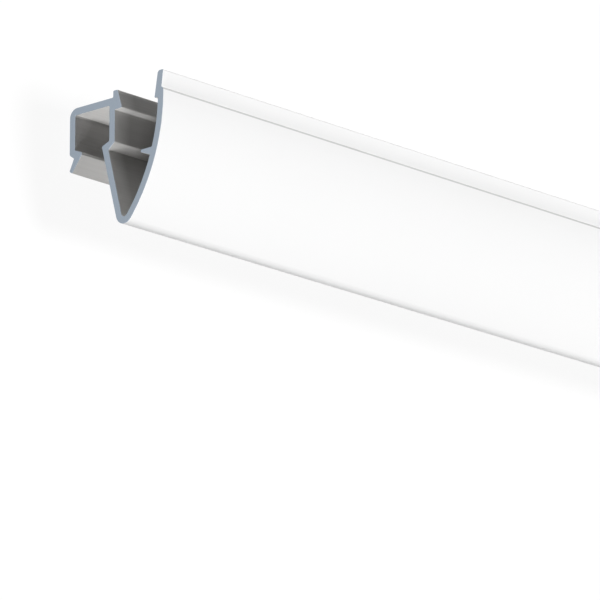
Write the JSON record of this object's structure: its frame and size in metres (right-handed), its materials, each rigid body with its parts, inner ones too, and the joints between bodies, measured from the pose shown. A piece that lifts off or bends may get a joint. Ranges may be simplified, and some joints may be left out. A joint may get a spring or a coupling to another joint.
{
  "type": "ceiling picture rail",
  "caption": "Extruded aluminium picture rail for the corner of wall and ceiling, with a curved white front, a hanger channel behind it and a ceiling-clip socket on top.",
  "frame": {"origin": "middle of the rail's length and of its mounted height, on the wall plane, which is the floor when the rail lies on its back", "axes": "+X along the rail, away from the end whose section the picture shows; +Y up to the ceiling when mounted; +Z from the wall to the room"},
  "size_m": [1, 0.028, 0.0244],
  "materials": {
    "rail": "matt white powder coat on the front, etched bare metal inside, sawn ends"
  },
  "bodies": {
    "root": {"rail_extrusion": "rail"}
  },
  "joints": []
}
